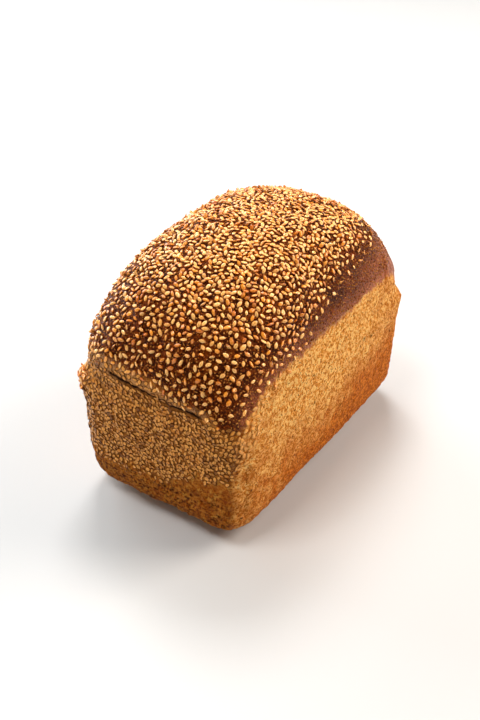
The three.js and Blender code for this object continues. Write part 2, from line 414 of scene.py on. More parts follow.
def draw_stroke(piece, path, reach, depth, falloff="SMOOTH"):
    """Raises the surface along a path, or sinks it for a depth below 0."""
    gaps = path_gap(places(piece), path)
    select_vertices(piece, gaps < max(STROKE_CORE, gaps.min() + STROKE_SPARE))
    bpy.ops.transform.shrink_fatten(
        value=depth * MM, use_proportional_edit=True,
        proportional_edit_falloff=falloff, proportional_size=reach * MM)
    bpy.ops.object.mode_set(mode="OBJECT")
    print("stroke:", depth, "mm deep, nearest vertex", round(gaps.min() / MM, 2), "mm")


for stroke in STROKES:
    draw_stroke(crust, **stroke)

# %% [markdown]
# ## Corner edges
# The tin's corners are round, but the dough set with a crisp edge up two of them, nearer to the end than to
# the side. The same stroke draws it, with a straight falloff that leaves a ridge instead of a soft roll. Its
# path is worked out from the outlines, so that it stays on the leaning wall.

# %% Draw the corner edges
EDGE_HEIGHTS = (13, 16, 24, 36, 48, 60, 72)
EDGE_TURN = math.radians(37)
EDGE_REACH, EDGE_DEPTH = 6.5, 2.0
NEAR_RIGHT, FAR_LEFT = -1, 1


def edge_path(corner_side):
    """The line up the near right or the far left corner of the wall."""
    stops = []
    for height in EDGE_HEIGHTS:
        base = BASE_RADIUS - math.sqrt(BASE_RADIUS ** 2 - max(0, BASE_RADIUS - height * MM) ** 2)
        outline = wall_outline(height * MM, base + wall_draft(height * MM))
        end = outline["near"] - outline["radius"] * (1 - math.cos(EDGE_TURN))
        side = outline["side"] - outline["radius"] * (1 - math.sin(EDGE_TURN))
        stops.append((corner_side * end / MM, corner_side * side / MM, height))
    return stops


for corner_side in (NEAR_RIGHT, FAR_LEFT):
    draw_stroke(crust, edge_path(corner_side), EDGE_REACH, EDGE_DEPTH, "LINEAR")

# %% [markdown]
# ## The tin's line
# Where the dough rose past the tin, the golden wall ends and the dark crown starts. The line between them is
# high along the sides, dips at the ends and corners, and dips most below the fold. Relief and finish both
# need to know how far a place is above it, so that is one function, worked out from the places alone.

# %% Find the tin's line
TIN_LINE = 97 * MM
END_LINE_DROP = 4.5 * MM
CORNER_LINE_DROP = 16 * MM
CORNER_LINE_REACH = 16 * MM
FOLD_LINE_DROP = 8 * MM


def smooth_step(value, low, high):
    """0 up to the low value, 1 from the high value on, smooth between them."""
    share = np.clip((value - low) / (high - low), 0, 1)
    return share * share * (3 - 2 * share)


def above_line(points):
    """How far each point is above the line that the tin left; the line dips at ends and corners."""
    x, y, z = points.T
    gap = np.hypot(np.abs(x) - CORNER_X, np.abs(y) - CORNER_Y)
    end = smooth_step(np.abs(x), HALF_LENGTH - 14 * MM, HALF_LENGTH - 5 * MM)
    corner = np.exp(-(gap / CORNER_LINE_REACH) ** 2)
    fold_side = smooth_step(-x, HALF_LENGTH - 14 * MM, HALF_LENGTH - 5 * MM) * smooth_step(-y, 0, 26 * MM)
    dip = np.maximum(CORNER_LINE_DROP * corner, FOLD_LINE_DROP * fold_side)
    return z - TIN_LINE + END_LINE_DROP * end + dip


line_heights = above_line(places(crust))
print("above the tin's line:", int((line_heights > 0).sum()), "of", len(line_heights), "vertices")

# %% [markdown]
# ## Baked relief
# No baked surface is smooth: the whole loaf is a little uneven, the crown's skin is wrinkled, the walls carry
# the small dimples of gas bubbles against hot metal, and the foot of the near end is lumpy. Displace
# modifiers with cloud textures of four sizes make these real shapes, each kept to its place by weights. The
# underside stays flat.

# %% Uneven, wrinkle and dimple the crust
UNEVEN_DEPTH, UNEVEN_SIZE = 1.8 * MM, 24 * MM
WRINKLE_DEPTH, WRINKLE_SIZE = 1.1 * MM, 4.2 * MM
DIMPLE_DEPTH, DIMPLE_SIZE = 1.1 * MM, 2.6 * MM
LUMP_DEPTH, LUMP_SIZE = 1.6 * MM, 5 * MM


def clouds(name, size, detail, contrast=1.0):
    """A cloud texture, for the relief."""
    texture = bpy.data.textures.new(name, "CLOUDS")
    texture.noise_scale = size
    texture.noise_depth = detail
    texture.contrast = contrast
    return texture


crown_share = smooth_step(line_heights, -3 * MM, 6 * MM)
off_floor = smooth_step(places(crust)[:, 2], 0.5 * MM, 4 * MM)
displace(crust, UNEVEN_DEPTH, off_floor, clouds("uneven", UNEVEN_SIZE, 1))
displace(crust, WRINKLE_DEPTH, crown_share, clouds("wrinkles", WRINKLE_SIZE, 2))
displace(crust, DIMPLE_DEPTH, off_floor * (1 - crown_share), clouds("dimples", DIMPLE_SIZE, 2, 1.5))
end_foot = smooth_step(-places(crust)[:, 0], HALF_LENGTH - 14 * MM, HALF_LENGTH - 6 * MM) * off_floor
end_foot *= 1 - smooth_step(places(crust)[:, 2], 26 * MM, 40 * MM)
displace(crust, LUMP_DEPTH, end_foot, clouds("lumps", LUMP_SIZE, 2, 1.4))
print("relief, size, mm:", [round(side / MM, 1) for side in crust.dimensions])

# %% [markdown]
# ## Slits
# The fold opened into a row of short dark slits, each running into the next, and the far front corner tore.
# These are true openings, so they are cut: a sphere that is stretched along the slit and flattened makes the
# blade, and a Boolean modifier takes it out of the crust.

# %% Cut the slits
INTO_FOLD = (1, 0, 0.35)
BLADE_SEGMENTS, BLADE_RINGS = 16, 12
SLITS = [
    {"from": (-91.6, 25, 88.6), "to": (-91.6, 14.5, 86.3), "deep": INTO_FOLD, "depth": 3.5, "mouth": 0.45},
    {"from": (-91.6, 17, 87.3), "to": (-91.6, 5, 85.0), "deep": INTO_FOLD, "depth": 4.0, "mouth": 0.6},
    {"from": (-91.6, 8, 85.9), "to": (-91.6, -5, 83.2), "deep": INTO_FOLD, "depth": 4.5, "mouth": 0.5},
    {"from": (-91.4, -2, 84.3), "to": (-91.4, -15, 82.9), "deep": INTO_FOLD, "depth": 5.0, "mouth": 1.0},
    {"from": (-91.2, -12, 83.0), "to": (-91.2, -24, 84.2), "deep": INTO_FOLD, "depth": 4.5, "mouth": 0.7},
    {"from": (-91.0, -22, 84.2), "to": (-90.6, -33, 83.4), "deep": INTO_FOLD, "depth": 4.0, "mouth": 0.5},
    {"from": (57.5, -53, 110), "to": (57.5, -55, 98), "deep": (-0.3, 1, 0), "depth": 2.5, "mouth": 0.9},
]


def cut(piece, cutter):
    """Takes the cutter's shape out of the piece."""
    apply_modifier(piece, "BOOLEAN", operation="DIFFERENCE", solver="MANIFOLD", object=cutter)
    bpy.data.objects.remove(cutter, do_unlink=True)


for slit in SLITS:
    start, end = Vector(slit["from"]) * MM, Vector(slit["to"]) * MM
    run = (end - start).normalized()
    across = run.cross(Vector(slit["deep"])).normalized()
    turn = Matrix((run, across.cross(run), across)).transposed().to_euler()
    bpy.ops.mesh.primitive_uv_sphere_add(
        segments=BLADE_SEGMENTS, ring_count=BLADE_RINGS, radius=1,
        location=(start + end) / 2, rotation=turn,
        scale=((end - start).length / 2, slit["depth"] * MM, slit["mouth"] / 2 * MM))
    cut(crust, bpy.context.object)
print("cut:", len(SLITS), "slits,", len(crust.data.polygons), "faces")

# %% [markdown]
# ## Pits
# A few gas bubbles broke through the walls as pits. Small balls of uneven size are joined and cut out in one
# go. Cutting can leave the faces in another order on each run, and the seeds are scattered by that order
# later, so the faces are listed anew in a fixed one. Where two slits meet, cutting can also leave a sliver of
# a face twice, and Validate drops the second.

# %% Cut the pits
PITS = [(34.6, -55, 38.9), (45.4, -55, 48.8), (42.5, -55, 66.8), (34.9, -55, 68.9), (55.8, -54.5, 31.5),
        (-85.2, -47.5, 22.6), (-91, -6.4, 26.6), (-91, -10.3, 25.7), (-90, -24.7, 15.1), (-91, -39.6, 28.4),
        (-90, -40.9, 22.3), (12, -54.5, 36), (-20, -54.6, 58), (70, -54, 55), (20, 54.5, 44), (-33, 54.6, 60),
        (52, 54.4, 35), (91, 14, 40), (91, -22, 58), (90.5, 3, 25)]
PIT_RADIUS = (0.55 * MM, 1.15 * MM)
PIT_HEIGHT = (0.7, 1.1)
RANDOM_START = 7
picks = np.random.default_rng(RANDOM_START)


def put_in_order(piece):
    """Lists the piece's faces in a fixed order, each from its lowest corner and only once."""
    faces = []
    for polygon in piece.data.polygons:
        corners = list(polygon.vertices)
        first = corners.index(min(corners))
        faces.append(corners[first:] + corners[:first])
    loose = piece.data
    piece.data = bpy.data.meshes.new(piece.name)
    piece.data.from_pydata([vertex.co for vertex in loose.vertices], [], sorted(faces))
    piece.data.validate()
    bpy.data.meshes.remove(loose)


bpy.ops.object.select_all(action="DESELECT")
pit_balls = []
for place in PITS:
    bpy.ops.mesh.primitive_ico_sphere_add(
        subdivisions=2, radius=picks.uniform(*PIT_RADIUS), location=Vector(place) * MM,
        scale=(1, 1, picks.uniform(*PIT_HEIGHT)))
    pit_balls.append(bpy.context.object)
for ball in pit_balls:
    ball.select_set(True)
bpy.ops.object.join()
cut(crust, bpy.context.object)
put_in_order(crust)
print("cut:", len(PITS), "pits,", len(crust.data.polygons), "faces")

# %% [markdown]
# ## Zones of the crust
# The finish changes with the place: wall, crown, seeded end, stretched skin by the fold, openings that get
# painted shade. Each zone is a share from 0 to 1, kept on the mesh as a point attribute, and so is the height
# above the tin's line. The material reads them later: attributes stay with the surface, whatever is done to
# it afterwards.

# %% Mark the zones
PRESSED_FOOT, PRESSED_FOOT_SLOPE = 31 * MM, 0.45
PRESSED_DEPTH = 6 * MM
EDGE_FADE = (0.5 * MM, 6.5 * MM)
EDGE_SPREAD = 9 * MM


def fold_height(y):
    """The height of the fold across the near end."""
    stops = sorted((stop[1] * MM, stop[2] * MM) for stop in FOLD_PATH)
    return np.interp(y, *zip(*stops))


def before_edge(points):
    """1 on the near end up to the edge of its right corner, 0 past that edge."""
    x, y, z = points.T
    past_middle = y - x - HALF_LENGTH + HALF_WIDTH + EDGE_SPREAD * smooth_step(z, 45 * MM, 70 * MM)
    return np.maximum(smooth_step(y, -20 * MM, -10 * MM), smooth_step(past_middle, *EDGE_FADE))


def pressed_share(points, depth):
    """Where seeds are pressed into the near end, reaching a depth back from it."""
    x, y, z = points.T
    foot = PRESSED_FOOT + PRESSED_FOOT_SLOPE * np.clip(-y, 0, None)
    foot = foot + 2.2 * MM * np.sin(y / (5.3 * MM)) + 1.6 * MM * np.sin(y / (2.3 * MM) + 1)
    on_end = smooth_step(depth - HALF_LENGTH - x, -3 * MM, 3 * MM)
    below_fold = smooth_step(fold_height(y) - z, -3 * MM, 1 * MM)
    return on_end * before_edge(points) * smooth_step(z - foot, -7 * MM, 6 * MM) * below_fold


def set_attribute(piece, name, values):
    """Keeps one value for each vertex on the piece's mesh."""
    attribute = piece.data.attributes.new(name, "FLOAT", "POINT")
    attribute.data.foreach_set("value", np.asarray(values, dtype=np.float32))


points = places(crust)
x, y, z = points.T
above_fold = z - fold_height(y)
near_end = smooth_step(-x, HALF_LENGTH - END_DEPTH, HALF_LENGTH - 4 * MM) * before_edge(points)
band_reach = (3.2 + 3.0 * smooth_step(y, -35 * MM, 15 * MM)) * MM
skin = near_end * np.maximum(
    bump((above_fold - 0.7 * band_reach) / band_reach) * smooth_step(y, -44 * MM, -30 * MM),
    bump((above_fold + 4 * MM) / (11 * MM)) * smooth_step(y, 10 * MM, 28 * MM))
slit_gap = np.min([path_gap(points, [slit["from"], slit["to"]]) for slit in SLITS], axis=0)
pit_gap = np.min([np.linalg.norm(points - np.array(place) * MM, axis=1) for place in PITS], axis=0)
slit_share = 1 - smooth_step(slit_gap, 0.6 * MM, 1.6 * MM)
pit_share = 0.7 - 0.7 * smooth_step(pit_gap, 0.6 * MM, 1.4 * MM)
opened = np.maximum(slit_share, pit_share)
set_attribute(crust, "above_line", above_line(points))
set_attribute(crust, "pressed", pressed_share(points, PRESSED_DEPTH))
set_attribute(crust, "skin", skin)
set_attribute(crust, "near_end", near_end)
set_attribute(crust, "opened", opened)
print("zones marked:", ["above_line", "pressed", "skin", "near_end", "opened"])

# %% [markdown]
# ## Tools for the finish
# A finish is a chain of nodes: one value is worked out from others, and two colours are blended by a share.
# A short function for each kind of link keeps the chains that follow easy to read.

# %% Define the tools
def srgb(red, green, blue):
    """A colour given from 0 to 255, as the linear colour that the nodes take."""
    def linear(level):
        return ((level / 255 + 0.055) / 1.055) ** 2.4 if level > 10 else level / 255 / 12.92
    return (linear(red), linear(green), linear(blue), 1)


def add_node(tree, kind, inputs=None, **settings):
    """A node with its settings; an input given as a socket is linked, any other is set."""
    node = tree.nodes.new(kind)
    for key, value in settings.items():
        setattr(node, key, value)
    for key, value in (inputs or {}).items():
        if isinstance(value, bpy.types.NodeSocket):
            tree.links.new(value, node.inputs[key])
        else:
            node.inputs[key].default_value = value
    return node


def calculate(tree, operation, first, second=0.0):
    """The result of a Math node."""
    return add_node(tree, "ShaderNodeMath", {0: first, 1: second}, operation=operation).outputs[0]


def plus(tree, first, second):
    return calculate(tree, "ADD", first, second)


def minus(tree, first, second):
    return calculate(tree, "SUBTRACT", first, second)


def times(tree, first, second):
    return calculate(tree, "MULTIPLY", first, second)


def fade(tree, value, low, high):
    """0 up to the low value, 1 from the high value on, smooth between them."""
    inputs = {"Value": value, "From Min": low, "From Max": high}
    return add_node(tree, "ShaderNodeMapRange", inputs, interpolation_type="SMOOTHSTEP").outputs[0]


def blend(tree, share, first, second, blend_type="MIX"):
    """The first colour, with the second one laid over it by the share."""
    inputs = {0: share, 6: first, 7: second}
    return add_node(tree, "ShaderNodeMix", inputs, data_type="RGBA", blend_type=blend_type).outputs[2]


print("a mid grey, linear:", round(srgb(128, 128, 128)[0], 3))

# %% [markdown]
# ## Mottling and flecks
# Two effects come back in several finishes, so each is a node group. Mottling gives a broad and a fine
# unevenness of tone. Flecks are round specks, one to a Voronoi cell, and only a share of the cells takes one.
# Both read object coordinates, so a size in millimetres on the loaf is a size in millimetres in the nodes.

# %% Build the shared node groups
def new_group(name, inputs, outputs):
    """An empty node group, with what it takes and what it gives."""
    group = bpy.data.node_groups.new(name, "ShaderNodeTree")
    for title, kind in inputs.items():
        group.interface.new_socket(title, in_out="INPUT", socket_type=kind)
    for title in outputs:
        group.interface.new_socket(title, in_out="OUTPUT", socket_type="NodeSocketFloat")
    return group, group.nodes.new("NodeGroupInput").outputs, group.nodes.new("NodeGroupOutput").inputs


mottling, taken, given = new_group(
    "mottling", {"Place": "NodeSocketVector", "Patch size": "NodeSocketFloat",
                 "Grain size": "NodeSocketFloat"}, ["Patch", "Grain"])
for output, size, detail in (("Patch", "Patch size", 3), ("Grain", "Grain size", 6)):
    scale = calculate(mottling, "DIVIDE", 1.0, taken[size])
    cloud = add_node(mottling, "ShaderNodeTexNoise",
                     {"Vector": taken["Place"], "Scale": scale, "Detail": detail, "Roughness": 0.7})
    mottling.links.new(fade(mottling, cloud.outputs["Fac"], 0.3, 0.7), given[output])

flecks, taken, given = new_group(
    "flecks", {"Place": "NodeSocketVector", "Spacing": "NodeSocketFloat", "Radius": "NodeSocketFloat",
               "Share": "NodeSocketFloat"}, ["Mask"])
cells = add_node(flecks, "ShaderNodeTexVoronoi",
                 {"Vector": taken["Place"], "Scale": calculate(flecks, "DIVIDE", 1.0, taken["Spacing"])})
chance = add_node(flecks, "ShaderNodeSeparateColor", {0: cells.outputs["Color"]}).outputs
reach = calculate(flecks, "DIVIDE", taken["Radius"], taken["Spacing"])
reach = times(flecks, reach, plus(flecks, 0.4, chance[1]))
from_middle = calculate(flecks, "DIVIDE", cells.outputs["Distance"], reach)
core = minus(flecks, 1.0, fade(flecks, from_middle, 0.5, 1.0))
drawn = calculate(flecks, "LESS_THAN", chance[0], taken["Share"])
flecks.links.new(times(flecks, core, drawn), given["Mask"])
print("node groups:", mottling.name, "and", flecks.name)

# %% [markdown]
# ## The wall's finish
# The walls baked against metal: matt, sandy gold, deeper and more orange low down, which is partly a deeper
# bake and partly painted shade, with pale grain, brown pores and dark bran. Each of these is one layer,
# blended over those before by a mask, which comes from the place on the loaf, from mottling or from flecks.

# %% Mix the wall
WALL_GOLD, WALL_DEEP = srgb(246, 155, 56), srgb(176, 87, 14)
WALL_PALE, WALL_LIGHT = srgb(255, 211, 128), srgb(222, 127, 42)
WALL_BROWN, PORE_BROWN, BRAN = srgb(146, 68, 14), srgb(152, 70, 12), srgb(92, 38, 8)


def add_group(tree, group, **inputs):
    """A shared group with its inputs; an underscore stands for a space in an input's name."""
    titled = {title.replace("_", " "): value for title, value in inputs.items()}
    return add_node(tree, "ShaderNodeGroup", titled, node_tree=group).outputs


def read(tree, name):
    """A value that was kept on the mesh."""
    return add_node(tree, "ShaderNodeAttribute", attribute_name=name).outputs["Fac"]


crust_finish = bpy.data.materials.new("crust")
crust_finish.use_nodes = True
tree = crust_finish.node_tree
place = add_node(tree, "ShaderNodeTexCoord").outputs["Object"]
along, across, height = add_node(tree, "ShaderNodeSeparateXYZ", {0: place}).outputs
wall_tone = add_group(tree, mottling, Place=place, Patch_size=7 * MM, Grain_size=1.75 * MM)

nearness = fade(tree, along, -30 * MM, -86 * MM)
farness = fade(tree, along, 20 * MM, 90 * MM)
# Darker low down on the wall: partly a deeper bake, partly painted shade where less light reaches.
low_bake_and_shade = minus(tree, 0.95, times(tree, nearness, 0.85))
low_bake_and_shade = minus(tree, low_bake_and_shade, times(tree, farness, 0.25))
low_bake_and_shade = times(tree, fade(tree, height, 80 * MM, 2 * MM), low_bake_and_shade)
far_wall = times(tree, fade(tree, along, -10 * MM, 90 * MM), 0.38)
near_wall = times(tree, nearness, 0.36)
patches = times(tree, wall_tone["Patch"], 0.45)
deep = plus(tree, plus(tree, low_bake_and_shade, patches), plus(tree, far_wall, near_wall))
wall = blend(tree, fade(tree, deep, 0.2, 1.05), WALL_GOLD, WALL_DEEP)
pale_grain = times(tree, fade(tree, wall_tone["Grain"], 0.38, 0.72), 0.9)
wall = blend(tree, pale_grain, wall, blend(tree, fade(tree, deep, 0.3, 1.05), WALL_PALE, WALL_LIGHT))
dark_grain = times(tree, fade(tree, wall_tone["Grain"], 0.5, 0.05), 0.7)
wall = blend(tree, dark_grain, wall, WALL_BROWN)
wall_pores = add_group(tree, flecks, Place=place, Spacing=1.25 * MM, Radius=0.5 * MM, Share=0.6)
wall = blend(tree, times(tree, wall_pores["Mask"], 0.9), wall, PORE_BROWN)
wall_bran = add_group(tree, flecks, Place=place, Spacing=3.8 * MM, Radius=0.75 * MM, Share=0.3)
wall = blend(tree, times(tree, wall_bran["Mask"], 0.85), wall, BRAN)
print("wall:", len(tree.nodes), "nodes")

# %% [markdown]
# ## The near end's finish
# The near end is darker than the sides: partly a duller crust, partly painted shade, since it faces away from
# the windows. Its foot is mottled in patches, pale ones as painted light on lumps and dark ones as painted
# shade between them. It is the same wall, so the foot's patches are two more layers and the darker tone is
# multiplied over all of them.

# %% Mix the near end
FOOT_LIGHT, FOOT_SHADE = srgb(232, 154, 76), srgb(92, 40, 6)
# END_SHADE darkens the near end: partly a duller crust, partly painted shade on the end that faces away from
# the windows.
END_SHADE = srgb(214, 196, 150)

on_end = read(tree, "near_end")
foot = times(tree, on_end, fade(tree, height, 46 * MM, 26 * MM))
lumps = add_group(tree, mottling, Place=place, Patch_size=3.6 * MM, Grain_size=2.0 * MM)
left_foot = times(tree, fade(tree, across, 8 * MM, 34 * MM), 0.45)
foot_pale = plus(tree, fade(tree, lumps["Patch"], 0.45, 0.95), left_foot)
foot_pale = calculate(tree, "MINIMUM", foot_pale, 1.0)
# Painted light and shade on the foot: pale patches stand for light on lumps, dark ones for shade between
# them.
wall = blend(tree, times(tree, foot, foot_pale), wall, FOOT_LIGHT)
wall = blend(tree, times(tree, foot, fade(tree, lumps["Grain"], 0.6, 0.1)), wall, FOOT_SHADE)
# Painted shade in part: the whole near end is multiplied darker.
wall = blend(tree, on_end, wall, END_SHADE, "MULTIPLY")
print("wall and near end:", len(tree.nodes), "nodes")

# %% [markdown]
# ## The crown's finish
# The crown baked in the open: chocolate brown, with a mauve border above the tin's line that is widest at the
# far end, where fewer seeds fell. Noise added to the height above the line makes that edge ragged.

# %% Mix the crown
CROWN_DARK, CROWN_WARM = srgb(50, 11, 0), srgb(142, 61, 10)
CROWN_BORDER, BORDER_BRAN = srgb(190, 106, 70), srgb(244, 168, 96)
CROWN_BRAN = srgb(206, 122, 48)

crown_tone = add_group(tree, mottling, Place=place, Patch_size=8 * MM, Grain_size=1.2 * MM)
unruly = minus(tree, plus(tree, crown_tone["Grain"], crown_tone["Patch"]), 1.0)
ragged = plus(tree, read(tree, "above_line"), times(tree, unruly, 2.6 * MM))
on_crown = fade(tree, ragged, -1.2 * MM, 2.6 * MM)
baked = plus(tree, times(tree, crown_tone["Patch"], 0.35), times(tree, crown_tone["Grain"], 0.65))
crown = blend(tree, fade(tree, baked, 0.25, 0.95), CROWN_DARK, CROWN_WARM)
border = minus(tree, 1.0, fade(tree, ragged, 1.5 * MM, 14 * MM))
border_share = plus(tree, 0.52, times(tree, fade(tree, along, 0.0, 70 * MM), 0.45))
border_share = minus(tree, border_share, times(tree, on_end, 0.5))
bare = times(tree, fade(tree, height, 124 * MM, 108 * MM), fade(tree, along, 5 * MM, 60 * MM))
border = calculate(tree, "MAXIMUM", times(tree, border, border_share), times(tree, bare, 0.64))
uneven_border = plus(tree, 0.45, fade(tree, crown_tone["Grain"], 0.2, 0.8))
crown = blend(tree, times(tree, border, uneven_border), crown, CROWN_BORDER)
crown_bran = add_group(tree, flecks, Place=place, Spacing=1.5 * MM, Radius=0.5 * MM, Share=0.45)
crown = blend(tree, times(tree, crown_bran["Mask"], 0.7), crown, CROWN_BRAN)
fine_bran = add_group(tree, flecks, Place=place, Spacing=1.0 * MM, Radius=0.4 * MM, Share=0.5)
crown = blend(tree, times(tree, fine_bran["Mask"], border), crown, BORDER_BRAN)
print("wall, near end and crown:", len(tree.nodes), "nodes")

# %% [markdown]
# ## One finish for the whole crust
# Wall and crown are one skin, so they are blended into one colour along the ragged line. Brown gaps between
# the pressed seeds, pale stretched skin by the fold and painted shade in the slits and pits go on top, from
# the marked zones. The wall is matt and the crown satin, with a warm tint in its gloss, and the grain also
# gives the fine bump.

# %% Join wall and crown
GAP_BROWN, SKIN_PALE, OPENING_SHADE = srgb(172, 104, 42), srgb(216, 158, 102), srgb(40, 17, 5)
WARM_GLOSS = srgb(255, 185, 140)
GLOSS_LEVEL = 0.2
SKIN_STRETCH = (1, 0.3, 1)

colour = blend(tree, on_crown, wall, crown)
colour = blend(tree, times(tree, read(tree, "pressed"), 0.85), colour, GAP_BROWN)
stretched = add_node(tree, "ShaderNodeVectorMath", {0: place, 1: SKIN_STRETCH}, operation="MULTIPLY")
wrinkles = add_group(tree, mottling, Place=stretched.outputs[0], Patch_size=4 * MM, Grain_size=1.1 * MM)
uneven_skin = plus(tree, 0.45, times(tree, wrinkles["Grain"], 0.55))
colour = blend(tree, times(tree, read(tree, "skin"), uneven_skin), colour, SKIN_PALE)
# Painted shade in the slits and pits.
colour = blend(tree, read(tree, "opened"), colour, OPENING_SHADE)
satin = times(tree, on_crown, plus(tree, 0.34, times(tree, crown_tone["Grain"], 0.12)))
pitted = minus(tree, wall_tone["Grain"], times(tree, wall_pores["Mask"], 0.4))
grain = blend(tree, on_crown, pitted, crown_tone["Grain"])
rough = add_node(tree, "ShaderNodeBump", {"Height": grain, "Strength": 0.9, "Distance": 0.8 * MM})

shader = tree.nodes["Principled BSDF"]
tree.links.new(colour, shader.inputs["Base Color"])
tree.links.new(minus(tree, 0.78, satin), shader.inputs["Roughness"])
tree.links.new(rough.outputs["Normal"], shader.inputs["Normal"])
shader.inputs["Specular IOR Level"].default_value = GLOSS_LEVEL
shader.inputs["Specular Tint"].default_value = WARM_GLOSS
crust.data.materials.clear()
crust.data.materials.append(crust_finish)
bpy.ops.object.select_all(action="DESELECT")
crust.select_set(True)
bpy.context.view_layer.objects.active = crust
bpy.ops.object.shade_smooth()
print("crust finish:", len(tree.nodes), "nodes")

# %% [markdown]
# ## One sesame seed
# A sesame seed is a flat drop about 3 mm long, blunt at one end and pointed at the other. A small sphere
# lying on its side is flattened, each of its rings is narrowed on the way to the tip, and the middle of both
# faces is dished. A few seeds of different build are enough, because each one that is laid gets its own
# turn, tilt and size. A new sphere's faces come in any order too, so they are listed in a fixed one.

# %% Model the seeds
SEED_LENGTH, SEED_WIDTH, SEED_THICKNESS = 3.55 * MM, 2.25 * MM, 1.1 * MM
SEED_DISH = 0.76
SEED_SEGMENTS, SEED_RINGS = 8, 5
RING_WIDTH, CREST_WIDTH, CREST_HEIGHT = 0.01, 0.02, 0.05
SEED_BUILDS = [
    {"long": 1.0, "wide": 1.0, "thick": 1.0, "point": 0.55},
    {"long": 0.93, "wide": 1.05, "thick": 0.9, "point": 0.5},
    {"long": 1.07, "wide": 0.92, "thick": 1.05, "point": 0.6},
    {"long": 1.02, "wide": 0.84, "thick": 1.15, "point": 0.62},
    {"long": 0.86, "wide": 0.95, "thick": 0.95, "point": 0.5},
]

seeds = []
for build in SEED_BUILDS:
    bpy.ops.object.select_all(action="DESELECT")
    bpy.ops.mesh.primitive_uv_sphere_add(
        segments=SEED_SEGMENTS, ring_count=SEED_RINGS, radius=0.5, rotation=(0, math.pi / 2, 0))
    seed = bpy.context.object
    bpy.ops.object.transform_apply(rotation=True)
    ends = places(seed)[:, 0]
    for ring in np.unique(np.round(ends[ends > RING_WIDTH], 3)):
        select_vertices(seed, np.abs(ends - ring) < RING_WIDTH)
        narrow = 1 - build["point"] * (2 * ring) ** 2
        bpy.ops.transform.resize(value=(1, narrow, 0.5 + narrow / 2), center_override=(ring, 0, 0))
        bpy.ops.object.mode_set(mode="OBJECT")
    flat = places(seed)
    select_vertices(seed, (np.abs(flat[:, 1]) < CREST_WIDTH) & (np.abs(flat[:, 2]) > CREST_HEIGHT))
    bpy.ops.transform.resize(value=(1, 1, SEED_DISH), center_override=(0, 0, 0))
    bpy.ops.object.mode_set(mode="OBJECT")
    size = (build["long"] * SEED_LENGTH, build["wide"] * SEED_WIDTH, build["thick"] * SEED_THICKNESS)
    bpy.ops.transform.resize(value=size, center_override=(0, 0, 0))
    bpy.ops.object.transform_apply(scale=True)
    put_in_order(seed)
    seeds.append(seed)
print("seed builds:", [tuple(round(side / MM, 2) for side in seed.dimensions) for seed in seeds])

# %% [markdown]
# ## Blisters
# Between and below the seeds the crown's skin carries small blisters and flecks of husk. They are so small
# that a ball of a few faces does for each: four sizes, some long and some nearly round.

# %% Model the blisters
BLISTER_SIZES = [(1.3, 0.9, 0.7), (0.9, 0.8, 0.6), (1.7, 0.7, 0.6), (0.7, 0.6, 0.5)]

blisters = []
for size in BLISTER_SIZES:
    bpy.ops.object.select_all(action="DESELECT")
    bpy.ops.mesh.primitive_ico_sphere_add(subdivisions=1, radius=0.5)
    bpy.ops.transform.resize(value=[side * MM for side in size], center_override=(0, 0, 0))
    bpy.ops.object.transform_apply(scale=True)
    blisters.append(bpy.context.object)
print("blister sizes, mm:", BLISTER_SIZES)

# %% [markdown]
# ## Where the crown's seeds lie
# The seeds fell close together on the top, looser towards the front, and thin out at a ragged edge that
# climbs along the sides. Spots are picked at random by area, and a spot too near one that is taken is
# dropped: that gives the even but unruly spread of real sprinkling. How near is too near changes over the
# crown, and it is infinite where no seed may lie.

# %% Pick the spots on the crown
SEED_EDGE_LOW, SEED_EDGE_RISE, SEED_EDGE_RUN = 77 * MM, 37 * MM, 139 * MM
SEED_EDGE_LIFT, SEED_EDGE_FALL = 8.5 * MM, 24 * MM
CROWN_GAP, TOP_CLOSER, EDGE_LOOSER, FOLD_LOOSER = 3.2 * MM, 1.0 * MM, 2.6 * MM, 0.8 * MM
LIP_SEEDS, LIP_GAP = 7 * MM, 2.1 * MM
CROWN_TRIES = 40000
SCATTER_CELL = 4 * MM
BARELY_OPEN = 0.05


def edge_height(x, y):
    """The height of the seeds' lower edge along the loaf."""
    climb = np.sqrt(np.clip((x + HALF_LENGTH) / SEED_EDGE_RUN, 0, None))
    lift = SEED_EDGE_LIFT * smooth_step(x, -60 * MM, 25 * MM)
    far_end = smooth_step(x, 52 * MM, 78 * MM) * (1 - smooth_step(np.abs(y), 14 * MM, 44 * MM))
    return SEED_EDGE_LOW + SEED_EDGE_RISE * climb + lift - SEED_EDGE_FALL * far_end


def squared_gap(one, other):
    return (one[0] - other[0]) ** 2 + (one[1] - other[1]) ** 2 + (one[2] - other[2]) ** 2


def scatter(piece, gaps, tries, taken):
    """Random spots on the piece, by area, as places and normals; no two nearer than the gap there."""
    mesh = piece.data
    mesh.calc_loop_triangles()
    corners = np.empty(len(mesh.loop_triangles) * 3, dtype=np.int64)
    mesh.loop_triangles.foreach_get("vertices", corners)
    corners = corners.reshape(-1, 3)
    areas = np.empty(len(corners))
    mesh.loop_triangles.foreach_get("area", areas)
    areas *= np.isfinite(gaps[corners]).all(axis=1)
    normals = np.empty(len(mesh.vertices) * 3)
    mesh.vertices.foreach_get("normal", normals)
    chosen = corners[picks.choice(len(corners), size=tries, p=areas / areas.sum())]
    shares = picks.dirichlet((1, 1, 1), size=tries)[:, :, None]
    spots = (places(piece)[chosen] * shares).sum(axis=1)
    ways = (normals.reshape(-1, 3)[chosen] * shares).sum(axis=1)
    spot_gaps = gaps[chosen].mean(axis=1)
    kept = []
    for index, spot in enumerate(spots):
        home = tuple(np.floor(spot / SCATTER_CELL).astype(int))
        gap = spot_gaps[index]
        around = [other for i in (-1, 0, 1) for j in (-1, 0, 1) for k in (-1, 0, 1)
                  for other in taken.get((home[0] + i, home[1] + j, home[2] + k), ())]
        if all(squared_gap(spot, other) > gap * gap for other in around):
            taken.setdefault(home, []).append(tuple(spot))
            kept.append(index)
    return spots[kept], ways[kept] / np.linalg.norm(ways[kept], axis=1)[:, None]


